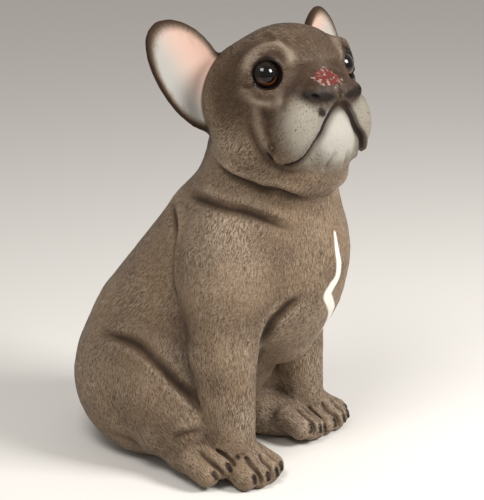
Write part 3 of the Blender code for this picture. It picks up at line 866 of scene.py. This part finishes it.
def paint_masks(mesh, steps):
    """Where each paint goes, painted shade and painted highlight among them, as named numbers at each point
    of the skin.
    """
    points = points_of(mesh)
    local = in_place(points, HEAD)
    one_sided = in_place(points, HEAD, mirrored=False)
    outward = spread_normals(mesh, 25)
    mouth = Crease(MOUTH_LINE, 1.0, 1.0, place=HEAD, mirrored=True)
    stripe_gap, stripe_share = side_gap(Crease(STRIPE, 1.0, 1.0), points, outward)
    stripe_half = 1.15 * np.sin(np.pi * np.clip(stripe_share, 0.04, 0.96)) ** 0.5
    # Areas of paint on the head. Each is the skin inside an egg
    face = Egg((0, -4.0, 1.0), (17.5, 16.0, 16.0)).field(local)
    muzzle = Egg((0, -15.5, -6.5), (13.0, 8.5, 8.5)).field(local)
    chin = Egg((0, -17.5, -7.4), (5.6, 6.0, 5.6)).field(local)
    nostril = Egg((5.2, -15.8, 0.3), (4.2, 2.6, 1.1), turn=(0, -8, 0)).field(local)
    patch = Egg((-1.2, -14.0, 3.5), (3.2, 2.8, 2.0)).field(one_sided)
    mole = Egg((-4.8, -16.1, -2.9), (0.8, 1.6, 1.0)).field(one_sided)
    fine = hollowness(mesh, 10)
    broad = hollowness(mesh, 70)
    wide, tight = fold_masks(steps, points, outward)
    ear = EAR.own_points(local)
    masks = {
        # Painted shade, together with the dark brown washed in, along the folds and at their lines.
        "fold": wide,
        "line": tight,
        # Painted shade, together with the dark brown washed in: darker where the skin lies below its smoothed
        # self.
        "recess_shade": np.clip(fine / 0.15, 0, 1) * 0.4 + np.clip(broad / 0.8, 0, 1) * 0.6,
        # Painted highlight, together with the dry brush: paler where the skin stands above its smoothed self.
        "raised": np.clip(-fine / 0.12, 0, 1) * 0.4 + np.clip(-broad / 0.6, 0, 1) * 0.5,
        "ridge": ridge_mask(local),
        "face": ease(-face, -6.0, 1.0),
        "mouth_gap": side_gap(mouth, points, outward)[0],
        "muzzle": ease(-muzzle, -2.5, 2.0),
        "chin": ease(-chin, -1.5, 1.5),
        "stripe": stripe_half - stripe_gap,
        "inner_ear": inner_ear(local),
        "ear_blush": ease(-ear[:, 0], -4.0, 4.5),
        "ear_edge": ear_edge(local),
        "leather": ease(-NOSE_LEATHER.field(local), -1.6, 0.8),
        "nostril": np.maximum(ease(-nostril, -0.6, 0.4), ease(-mole, -0.2, 0.2)),
        "raw_patch": -patch,
        "lids": ease(-LIDS.field(local), -0.35, 0.35),
        "claws": ease(-clay_field(all_claws(), points), -0.25, 0.05),
    }
    for name, values in masks.items():
        mask = mesh.attributes.new(name, "FLOAT", "POINT")
        mask.data.foreach_set("value", values.astype(np.float32))
    ways = lie_of_hair(points, normals_of(mesh)).astype(np.float32)
    mesh.attributes.new("lie", "FLOAT_VECTOR", "POINT").data.foreach_set("vector", ways.ravel())


def linear(red, green, blue):
    """A colour as it looks, 0 to 255, in the light's own numbers."""
    return tuple(((part / 255 + 0.055) / 1.055) ** 2.4 for part in (red, green, blue))


def colour_property(name, description, shown):
    whole = dict(subtype="COLOR", size=3, min=0.0, max=1.0)
    return FloatVectorProperty(name=name, description=description, default=linear(*shown), **whole)


def length_property(name, description, default):
    return FloatProperty(name=name, description=description, default=default, unit="LENGTH")


def angle_property(name, description, degrees):
    return FloatProperty(name=name, description=description, default=math.radians(degrees), subtype="ANGLE")


class StatueSizes(bpy.types.PropertyGroup):
    """Sizes of the skin, the scored hair and the eyes."""

    rough_skin: length_property("Rough skin", "Grain of the first skin over the lumps", 0.0032)
    fine_skin: length_property("Fine skin", "Grain of the carved skin", 0.00125)
    quick_skin: length_property("Quick skin", "Grain of the skin in a quick look", 0.0021)
    triangles: IntProperty(name="Triangles", description="Most triangles in the skin", default=196000)
    tufts: IntProperty(name="Tufts", description="How many tufts are scored into the skin", default=26000)
    tuft_length: length_property("Tuft length", "Length of a tuft", 0.0080)
    tuft_width: length_property("Tuft width", "Half width of a tuft", 0.0012)
    tuft_depth: length_property("Tuft depth", "Relief of a tuft", 0.00012)
    hair_length: length_property("Hair length", "Length of a hair stroke", 0.0062)
    hair_width: length_property("Hair width", "Width of a hair stroke", 0.0007)
    hair_depth: length_property("Hair depth", "Relief of a hair stroke", 0.0003)
    iris: angle_property("Iris", "Angle of the iris's edge", 41)
    pupil: angle_property("Pupil", "Angle of the pupil's edge", 31)
    cornea: length_property("Cornea", "How far the cornea stands out", 0.0005)


class StatueColours(bpy.types.PropertyGroup):
    """Paints of the statue."""

    coat: colour_property("Coat", "Grey brown of the coat", (96, 77, 58))
    brown: colour_property("Brown", "Deeper brown of the head", (46, 31, 19))
    # Pale dry brush, which also serves as painted highlight on raised hair and ridges.
    brushed: colour_property("Dry brush", "Pale paint brushed over raised hair", (172, 155, 135))
    # Dark brown washed into the folds, which also serves as painted shade in the folds, hollows and hair
    # grooves.
    wash_and_shade: colour_property("Wash", "Dark brown wash that lies in the folds", (38, 27, 20))
    muzzle: colour_property("Muzzle", "Pale grey of the lips", (122, 116, 105))
    chin: colour_property("Chin", "Off-white of the chin", (146, 142, 133))
    inner_ear: colour_property("Inner ear", "Cream inside of the ears", (140, 137, 131))
    ear_blush: colour_property("Ear blush", "Pink towards the ear's root", (184, 153, 138))
    stripe: colour_property("Stripe", "Off-white of the chest stripe", (200, 195, 186))
    nose: colour_property("Nose", "Dark brown of the nose", (44, 29, 19))
    leather: colour_property("Leather", "Nearly black lids, mouth, nostrils and claws", (26, 18, 14))
    raw: colour_property("Raw patch", "Red patch on the nose", (84, 36, 30))
    iris: colour_property("Iris", "Brown of the iris", (104, 52, 26))


class StageSettings(bpy.types.PropertyGroup):
    """Floor and light."""

    floor_colour: colour_property("Floor", "Pale floor", (206, 202, 196))
    floor_size: length_property("Floor size", "Half width of the floor", 6.0)
    key: FloatProperty(name="Key light", description="Power of the main light", default=16.0, unit="POWER")
    fill: FloatProperty(name="Fill light", description="Power of the fill light", default=32.0, unit="POWER")
    sky: FloatProperty(name="Sky", description="Strength of the light from all round", default=0.5)


def add(tree, kind, inputs=None, **settings):
    """Adds a node, sets its options, and sets or joins its inputs."""
    made = tree.nodes.new(kind)
    for key, value in settings.items():
        setattr(made, key, value)
    for key, value in (inputs or {}).items():
        if isinstance(value, bpy.types.NodeSocket):
            tree.links.new(value, made.inputs[key])
        else:
            made.inputs[key].default_value = value
    return made


def mix(tree, share, first, second):
    """Two colours mixed by a share."""
    rgb = [value if isinstance(value, bpy.types.NodeSocket) else (*value, 1.0) for value in (first, second)]
    return add(tree, "ShaderNodeMix", {0: share, 6: rgb[0], 7: rgb[1]}, data_type="RGBA").outputs[2]


def math_node(tree, operation, first, second=0.0):
    return add(tree, "ShaderNodeMath", {0: first, 1: second}, operation=operation).outputs[0]


def spread(tree, value, low, high, start=0.0, end=1.0):
    """Goes smoothly from start to end as the value goes from low to high."""
    inputs = {"Value": value, "From Min": low, "From Max": high, "To Min": start, "To Max": end}
    return add(tree, "ShaderNodeMapRange", inputs, interpolation_type="SMOOTHSTEP").outputs["Result"]


def attribute(tree, name, output="Fac"):
    return add(tree, "ShaderNodeAttribute", attribute_name=name).outputs[output]


def cover(tree, mask, colour, paint):
    """A paint laid over the colour where the skin's mask of that name says so."""
    return mix(tree, attribute(tree, mask), colour, paint)


def noise(tree, scale, detail):
    """Cloudy noise fixed to the statue, about 0.5."""
    place = add(tree, "ShaderNodeTexCoord").outputs["Object"]
    inputs = {"Vector": place, "Scale": scale, "Detail": detail}
    return add(tree, "ShaderNodeTexNoise", inputs).outputs["Fac"]


def new_group(name, inputs, outputs):
    """A shader node group with named inputs (name, kind, default) and outputs (name, kind)."""
    tree = bpy.data.node_groups.new(name, "ShaderNodeTree")
    for label, kind, default in inputs:
        socket = tree.interface.new_socket(label, in_out="INPUT", socket_type=kind)
        socket.default_value = default
    for label, kind in outputs:
        tree.interface.new_socket(label, in_out="OUTPUT", socket_type=kind)
    return tree, add(tree, "NodeGroupInput"), add(tree, "NodeGroupOutput")


# The ways that strokes may run. Each point of the coat takes those that are nearest to the lie of its hair
STROKE_WAYS = [(0, 0, 1), (0, 1, 0), (1, 0, 0)]
STROKE_WAYS += [(0, 1, 1), (0, 1, -1), (1, 0, 1), (1, 0, -1), (1, 1, 0), (1, -1, 0)]


def stretched(tree, place, way, length, width):
    """Noise drawn out along a way: streaks of that length and width."""
    along = add(tree, "ShaderNodeVectorMath", {0: place, 1: way}, operation="DOT_PRODUCT").outputs["Value"]
    squeeze = math_node(tree, "SUBTRACT", math_node(tree, "DIVIDE", width, length), 1.0)
    pulled = math_node(tree, "MULTIPLY", along, squeeze)
    step = add(tree, "ShaderNodeVectorMath", {0: way, "Scale": pulled}, operation="SCALE")
    drawn = add(tree, "ShaderNodeVectorMath", {0: place, 1: step.outputs[0]}, operation="ADD")
    inputs = {"Vector": drawn.outputs[0], "Scale": math_node(tree, "DIVIDE", 1.0, width), "Detail": 1.0}
    return add(tree, "ShaderNodeTexNoise", inputs).outputs["Fac"]


def hair_group():
    """Short wavy strokes of hair that follow the lie of the coat. Puts out how high the hair stands."""
    inputs = [
        ("Lie", "NodeSocketVector", (0.0, 0.0, 1.0)),
        ("Length", "NodeSocketFloat", 0.006),
        ("Width", "NodeSocketFloat", 0.0012),
    ]
    tree, given, result = new_group("carved hair", inputs, [("Hair", "NodeSocketFloat")])
    place = add(tree, "ShaderNodeTexCoord").outputs["Object"]
    wave = add(tree, "ShaderNodeTexNoise", {"Vector": place, "Scale": 220.0, "Detail": 1.0}).outputs["Color"]
    half = (0.5, 0.5, 0.5)
    centred = add(tree, "ShaderNodeVectorMath", {0: wave, 1: half}, operation="SUBTRACT").outputs[0]
    sway = add(tree, "ShaderNodeVectorMath", {0: centred, "Scale": 0.003}, operation="SCALE").outputs[0]
    wavy = add(tree, "ShaderNodeVectorMath", {0: place, 1: sway}, operation="ADD").outputs[0]
    total = None
    weights = None
    for way in STROKE_WAYS:
        unit_way = tuple(Vector(way).normalized())
        both = {0: given.outputs["Lie"], 1: unit_way}
        match = add(tree, "ShaderNodeVectorMath", both, operation="DOT_PRODUCT").outputs["Value"]
        weight = math_node(tree, "POWER", math_node(tree, "ABSOLUTE", match), 10.0)
        streak = stretched(tree, wavy, unit_way, given.outputs["Length"], given.outputs["Width"])
        share = math_node(tree, "MULTIPLY", weight, streak)
        total = share if total is None else math_node(tree, "ADD", total, share)
        weights = weight if weights is None else math_node(tree, "ADD", weights, weight)
    tree.links.new(math_node(tree, "DIVIDE", total, weights), result.inputs["Hair"])
    return tree


def grain_group():
    """Fine grain of cast and painted resin. Puts out a small height and a change of gloss."""
    inputs = [("Scale", "NodeSocketFloat", 900.0)]
    outputs = [("Height", "NodeSocketFloat"), ("Gloss", "NodeSocketFloat")]
    tree, given, result = new_group("resin grain", inputs, outputs)
    place = add(tree, "ShaderNodeTexCoord").outputs["Object"]
    fine = add(tree, "ShaderNodeTexNoise", {"Vector": place, "Scale": given.outputs["Scale"], "Detail": 4.0})
    blotch_scale = math_node(tree, "MULTIPLY", given.outputs["Scale"], 0.06)
    blotch = add(tree, "ShaderNodeTexNoise", {"Vector": place, "Scale": blotch_scale, "Detail": 3.0})
    tree.links.new(fine.outputs["Fac"], result.inputs["Height"])
    tree.links.new(spread(tree, blotch.outputs["Fac"], 0.35, 0.7, -0.5, 0.5), result.inputs["Gloss"])
    return tree


def new_material(name):
    made = bpy.data.materials.new(name)
    made.use_nodes = True
    return made, made.node_tree, made.node_tree.nodes["Principled BSDF"]


def coat_ground(tree, paints, strokes, fold):
    """The hairy coat: strokes pick out light hair on a dark ground, with pale paint on raised hair and ridges
    that is also painted highlight, and dark brown washed into the folds, hollows and hair grooves that is
    also painted shade.
    """
    face = attribute(tree, "face")
    tint = noise(tree, 26.0, 4.0)
    clouds = noise(tree, 14.0, 3.0)
    ground = mix(tree, spread(tree, tint, 0.35, 0.65, 0.0, 0.55), paints.coat, paints.brown)
    ground = mix(tree, math_node(tree, "MULTIPLY", face, 0.85), ground, paints.brown)
    # Pale paint on the head's ridges: dry brush that is also painted highlight.
    brushed = math_node(tree, "MULTIPLY", attribute(tree, "ridge"), spread(tree, tint, 0.3, 0.7, 0.36, 0.12))
    ground = mix(tree, brushed, ground, paints.brushed)
    # Painted highlight with dry brush: pale paint on the raised parts and on the hair strokes, with less of
    # it in the folds, where it leaves painted shade.
    raised_highlight = math_node(tree, "MULTIPLY", attribute(tree, "raised"), spread(tree, face, 0.0, 1.0, 0.26, 0.15))
    light = math_node(tree, "ADD", raised_highlight, spread(tree, face, 0.0, 1.0, 0.36, 0.06))
    light = math_node(tree, "MULTIPLY", light, spread(tree, clouds, 0.4, 0.6, 0.75, 1.2))
    light = math_node(tree, "MULTIPLY", light, spread(tree, fold, 0.0, 0.9, 1.0, 0.3))
    light = math_node(tree, "MULTIPLY", spread(tree, strokes, 0.32, 0.72), light)
    colour = mix(tree, light, ground, paints.brushed)
    # Painted shade: dark brown in the grooves between the hair strokes.
    dark = math_node(tree, "MULTIPLY", spread(tree, strokes, 0.55, 0.2), 0.4)
    colour = mix(tree, dark, colour, paints.wash_and_shade)
    # Painted shade with dark brown washed into the hollows.
    colour = mix(tree, spread(tree, attribute(tree, "recess_shade"), 0.2, 1.0, 0.0, 0.45), colour, paints.wash_and_shade)
    # Painted shade with dark brown washed into the folds.
    return mix(tree, spread(tree, fold, 0.1, 1.0, 0.0, 0.27), colour, paints.wash_and_shade)


def pale_areas(tree, paints, strokes, fold, colour):
    """The speckled muzzle, the chin, the chest stripe and the inside of the ears, laid over the coat."""
    thick = spread(tree, noise(tree, 60.0, 2.0), 0.4, 0.6, 0.2, 1.0)
    specks = math_node(tree, "MULTIPLY", spread(tree, noise(tree, 620.0, 2.0), 0.56, 0.68, 0.0, 0.75), thick)
    pale = mix(tree, spread(tree, strokes, 0.55, 0.2, 0.0, 0.6), paints.muzzle, paints.coat)
    pale = mix(tree, specks, pale, paints.brown)
    # Less pale paint in the folds of the muzzle, which leaves painted shade there.
    muzzle = math_node(tree, "MULTIPLY", attribute(tree, "muzzle"), spread(tree, fold, 0.1, 0.9, 1.0, 0.3))
    colour = mix(tree, muzzle, colour, pale)
    chin = mix(tree, math_node(tree, "MULTIPLY", specks, 0.4), paints.chin, paints.coat)
    colour = cover(tree, "chin", colour, chin)
    colour = mix(tree, spread(tree, attribute(tree, "stripe"), -0.3, 0.3), colour, paints.stripe)
    colour = cover(tree, "inner_ear", colour, cover(tree, "ear_blush", paints.inner_ear, paints.ear_blush))
    return cover(tree, "ear_edge", colour, paints.brown)


def dark_areas(tree, paints, colour):
    """The lines of the folds and a soft band by the mouth as painted shade, the mouth line, the nose with its
    raw patch, the lids and the claws.
    """
    # Painted shade with dark brown washed along the lines of the folds.
    colour = mix(tree, spread(tree, attribute(tree, "line"), 0.1, 0.9, 0.0, 0.65), colour, paints.wash_and_shade)
    mouth_gap = attribute(tree, "mouth_gap")
    # Painted shade: a soft brown band beside the mouth line, in brown paint.
    colour = mix(tree, spread(tree, mouth_gap, 0.4, 2.2, 0.6, 0.0), colour, paints.brown)
    colour = mix(tree, spread(tree, mouth_gap, 0.3, 0.62, 0.95, 0.0), colour, paints.leather)
    worn = spread(tree, noise(tree, 260.0, 3.0), 0.4, 0.7, 0.92, 0.7)
    colour = mix(tree, math_node(tree, "MULTIPLY", attribute(tree, "leather"), worn), colour, paints.nose)
    colour = cover(tree, "nostril", colour, paints.leather)
    chips = noise(tree, 300.0, 2.0)
    raw = mix(tree, spread(tree, chips, 0.5, 0.7, 0.0, 0.6), paints.raw, paints.chin)
    edge = math_node(tree, "ADD", attribute(tree, "raw_patch"), spread(tree, chips, 0.3, 0.7, -0.5, 0.5))
    colour = mix(tree, spread(tree, edge, -0.4, 0.4), colour, raw)
    colour = cover(tree, "lids", colour, paints.leather)
    return cover(tree, "claws", colour, paints.leather)


def coat_material(sizes, paints, hair, grain):
    """Painted resin: grey-brown coat with dark brown washed into its folds that is also painted shade, pale
    dry brushing that is also painted highlight, and painted areas.
    """
    made, tree, shader = new_material("painted_coat")
    lie = attribute(tree, "lie", "Vector")
    stroke = {"Lie": lie, "Length": sizes.hair_length, "Width": sizes.hair_width}
    strokes = add(tree, "ShaderNodeGroup", stroke, node_tree=hair).outputs["Hair"]
    grains = add(tree, "ShaderNodeGroup", {"Scale": 900.0}, node_tree=grain)
    fold = attribute(tree, "fold")
    colour = coat_ground(tree, paints, strokes, fold)
    colour = pale_areas(tree, paints, strokes, fold, colour)
    tree.links.new(dark_areas(tree, paints, colour), shader.inputs["Base Color"])
    wet = math_node(tree, "MAXIMUM", attribute(tree, "claws"), attribute(tree, "lids"))
    rough = spread(tree, wet, 0.0, 1.0, 0.58, 0.22)
    rough = math_node(tree, "ADD", rough, math_node(tree, "MULTIPLY", grains.outputs["Gloss"], 0.12))
    tree.links.new(rough, shader.inputs["Roughness"])
    shader.inputs["Specular IOR Level"].default_value = 0.12
    bare = math_node(tree, "MAXIMUM", attribute(tree, "inner_ear"), attribute(tree, "leather"))
    bare = math_node(tree, "MAXIMUM", bare, wet)
    bare = math_node(tree, "MAXIMUM", bare, spread(tree, attribute(tree, "stripe"), -0.1, 0.1, 0.0, 0.7))
    hairy = math_node(tree, "MULTIPLY", strokes, spread(tree, bare, 0.0, 1.0, 1.0, 0.0))
    height = math_node(tree, "ADD", hairy, math_node(tree, "MULTIPLY", grains.outputs["Height"], 0.25))
    bump = add(tree, "ShaderNodeBump", {"Height": height, "Distance": sizes.hair_depth, "Strength": 1.0})
    tree.links.new(bump.outputs["Normal"], shader.inputs["Normal"])
    return made


def eye_material(sizes, paints, grain):
    """Glossy eye: black pupil, brown iris with painted light towards its foot, and a dark white."""
    made, tree, shader = new_material("glossy_eye")
    angle = attribute(tree, "look")
    grains = add(tree, "ShaderNodeGroup", {"Scale": 1400.0}, node_tree=grain)
    # Painted light: the iris is brighter towards its foot, as if lit through the glass.
    foot = spread(tree, attribute(tree, "foot"), 0.0, 0.9, 0.03, 0.75)
    painted_iris_light = math_node(tree, "MULTIPLY", foot, spread(tree, grains.outputs["Height"], 0.2, 0.8, 0.6, 1.0))
    iris = mix(tree, painted_iris_light, (0.004, 0.003, 0.002), paints.iris)
    in_iris = spread(tree, angle, sizes.pupil - 0.05, sizes.pupil + 0.05)
    colour = mix(tree, in_iris, (0.0015, 0.0012, 0.001), iris)
    outside = spread(tree, angle, sizes.iris - 0.04, sizes.iris + 0.04)
    colour = mix(tree, outside, colour, (0.008, 0.005, 0.004))
    tree.links.new(colour, shader.inputs["Base Color"])
    shader.inputs["Roughness"].default_value = 0.12
    shader.inputs["Specular IOR Level"].default_value = 0.1
    shader.inputs["Coat Weight"].default_value = 0.7
    shader.inputs["Coat IOR"].default_value = 1.35
    shader.inputs["Coat Roughness"].default_value = 0.03
    return made


def matte_material(name, colour, roughness):
    made, _, shader = new_material(name)
    shader.inputs["Base Color"].default_value = (*colour, 1.0)
    shader.inputs["Roughness"].default_value = roughness
    return made


def new_object(name, data):
    made = bpy.data.objects.new(name, data)
    bpy.context.scene.collection.objects.link(made)
    return made


def make_skin(name, steps, sizes, skin_size):
    """One closed skin over all the lumps, scored with hair and ready to paint."""
    rough = bmesh.new()
    for step in steps:
        if not isinstance(step, (Crease, Hollow)):
            step.rough(rough)
    mesh = bpy.data.meshes.new(name)
    rough.to_mesh(mesh)
    rough.free()
    mesh.transform(Matrix.Scale(UNIT, 4))
    skin = new_object(name, mesh)
    remesh(skin, sizes.rough_skin)
    settle(skin, steps, 4, 1.5)
    remesh(skin, skin_size)
    settle(skin, steps, 1, 0.4)
    refine_face(skin)
    settle(skin, steps, 3, 0.3)
    soften_lines(skin, 3)
    score_hair(skin, sizes.tufts, sizes.tuft_length / UNIT, sizes.tuft_width / UNIT, sizes.tuft_depth / UNIT)
    thin_out(skin, sizes.triangles)
    flatten_underside(skin)
    paint_masks(skin.data, steps)
    return skin


class STATUE_OT_coat(bpy.types.Operator):
    """Sculpts the dog in one piece, scores its hair and paints it"""

    bl_idname = "statue.coat"
    bl_label = "Carved Coat"

    def execute(self, context):
        sizes = context.scene.statue_sizes
        skin_size = sizes.fine_skin
        coat = make_skin("carved_coat", statue_steps(), sizes, skin_size)
        coat.data.shade_smooth()
        coat.data.transform(Matrix.Translation(SHIFT))
        hair = hair_group()
        grain = grain_group()
        coat.data.materials.clear()
        coat.data.materials.append(coat_material(sizes, context.scene.statue_colours, hair, grain))
        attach(coat, "root")
        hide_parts("body")
        return {"FINISHED"}


class STATUE_OT_eyes(bpy.types.Operator):
    """Makes the two glossy eyes, each with a raised cornea"""

    bl_idname = "statue.eyes"
    bl_label = "Glossy Eyes"

    def execute(self, context):
        sizes = context.scene.statue_sizes
        look = eye_material(sizes, context.scene.statue_colours, bpy.data.node_groups["resin grain"])
        for name, side in (("right_eye", -1), ("left_eye", 1)):
            turn = placed(NO_TURN, (EYE_TURN[0], EYE_TURN[1], side * EYE_TURN[2]))
            ahead = (HEAD @ turn).to_3x3() @ Vector((0, -1, 0))
            down = (HEAD @ turn).to_3x3() @ Vector((0, 0, -1))
            ball = bmesh.new()
            bmesh.ops.create_icosphere(ball, subdivisions=5, radius=EYE_RADIUS)
            angles = []
            feet_of_iris = []
            for point in ball.verts:
                angle = point.co.angle(ahead)
                angles.append(angle)
                feet_of_iris.append(point.co.normalized().dot(down) / math.sin(sizes.iris))
                rise = max(0.0, 1.0 - (angle / sizes.iris) ** 2)
                point.co += point.co.normalized() * sizes.cornea * rise
            mesh = bpy.data.meshes.new(name + "_glass")
            ball.to_mesh(mesh)
            ball.free()
            for label, values in (("look", angles), ("foot", feet_of_iris)):
                mesh.attributes.new(label, "FLOAT", "POINT").data.foreach_set("value", values)
            mesh.shade_smooth()
            mesh.materials.append(look)
            eye = new_object(name + "_glass", mesh)
            mesh.transform(Matrix.Translation(middle_of(name)))
            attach(eye, "root")
            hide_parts(name)
        return {"FINISHED"}


# The camera, in units, as the photograph was taken
CAMERA_AIM = Vector((-7.0, -7.0, 46.0))
CAMERA_TURN = math.radians(-60.0)
CAMERA_RISE = math.radians(17.0)
CAMERA_DISTANCE = 369.0
FOCAL_PIXELS = 1695.0
PICTURE = (484, 500)
PICTURE_AIM = (224.0, 262.0)

# In metres, and the colour of the light from all round
LIGHT_DISTANCE = 1.5
SKY_COLOUR = (1.0, 0.97, 0.94, 1.0)


def way_out(turn, rise):
    """The way from the statue to a camera or light, from its turn about the statue and its rise."""
    return Vector((math.sin(turn) * math.cos(rise), -math.cos(turn) * math.cos(rise), math.sin(rise)))


def area_light(name, aim, turn, rise, size, power):
    """A soft square light that looks at the aim."""
    lamp = bpy.data.lights.new(name, "AREA")
    lamp.size = size
    lamp.energy = power
    made = new_object(name, lamp)
    back = way_out(math.radians(turn), math.radians(rise))
    made.location = aim + back * LIGHT_DISTANCE
    made.rotation_euler = back.to_track_quat("Z", "Y").to_euler()


class STATUE_OT_stage(bpy.types.Operator):
    """Sets up the pale floor, the soft studio light and the camera"""

    bl_idname = "statue.stage"
    bl_label = "Stage"

    def execute(self, context):
        settings = context.scene.statue_stage
        aim = CAMERA_AIM * UNIT + SHIFT
        half = settings.floor_size
        mesh = bpy.data.meshes.new("floor")
        corners = [(-half, -half, 0), (half, -half, 0), (half, half, 0), (-half, half, 0)]
        mesh.from_pydata(corners, [], [(0, 1, 2, 3)])
        mesh.materials.append(matte_material("pale_floor", settings.floor_colour, 0.9))
        new_object("floor", mesh)
        area_light("key", aim, turn=-80, rise=52, size=0.55, power=settings.key)
        area_light("fill", aim, turn=5, rise=35, size=0.5, power=settings.fill)
        world = bpy.data.worlds.new("soft_sky")
        world.use_nodes = True
        light = world.node_tree.nodes["Background"].inputs
        light["Color"].default_value = SKY_COLOUR
        light["Strength"].default_value = settings.sky
        context.scene.world = world
        context.scene.view_settings.view_transform = "Standard"
        back = way_out(CAMERA_TURN, CAMERA_RISE)
        right = Vector((math.cos(CAMERA_TURN), math.sin(CAMERA_TURN), 0))
        lens = bpy.data.cameras.new("camera")
        camera = new_object("camera", lens)
        turn = Matrix((right, back.cross(right), back)).transposed().to_4x4()
        camera.matrix_world = Matrix.Translation(aim + back * CAMERA_DISTANCE * UNIT) @ turn
        lens.sensor_fit = "VERTICAL"
        lens.angle_y = 2 * math.atan(PICTURE[1] / 2 / FOCAL_PIXELS)
        lens.shift_x = (PICTURE[0] / 2 - PICTURE_AIM[0]) / PICTURE[1]
        lens.shift_y = (PICTURE_AIM[1] - PICTURE[1] / 2) / PICTURE[1]
        context.scene.camera = camera
        return {"FINISHED"}


class STATUE_PT_panel(bpy.types.Panel):
    """Lists the statue's operators and settings"""

    bl_label = "Bulldog Statue"
    bl_idname = "STATUE_PT_panel"
    bl_space_type = "VIEW_3D"
    bl_region_type = "UI"
    bl_category = "Statue"

    def draw(self, context):
        for operator in OPERATORS:
            self.layout.operator(operator.bl_idname)
        for name in SETTINGS:
            box = self.layout.box()
            group = getattr(context.scene, name)
            for key in group.bl_rna.properties.keys():
                if key not in ("rna_type", "name"):
                    box.prop(group, key)


OPERATORS = (STATUE_OT_coat, STATUE_OT_eyes, STATUE_OT_stage)
SETTINGS = {"statue_sizes": StatueSizes, "statue_colours": StatueColours, "statue_stage": StageSettings}
CLASSES = (*SETTINGS.values(), *OPERATORS, STATUE_PT_panel)


def register():
    for item in CLASSES:
        bpy.utils.register_class(item)
    for name, group in SETTINGS.items():
        setattr(bpy.types.Scene, name, PointerProperty(type=group))


def unregister():
    for name in SETTINGS:
        delattr(bpy.types.Scene, name)
    for item in reversed(CLASSES):
        bpy.utils.unregister_class(item)


def main():
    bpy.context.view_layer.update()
    register()
    bpy.ops.statue.coat()
    bpy.ops.statue.eyes()
    bpy.ops.statue.stage()


if __name__ == "__main__":
    main()
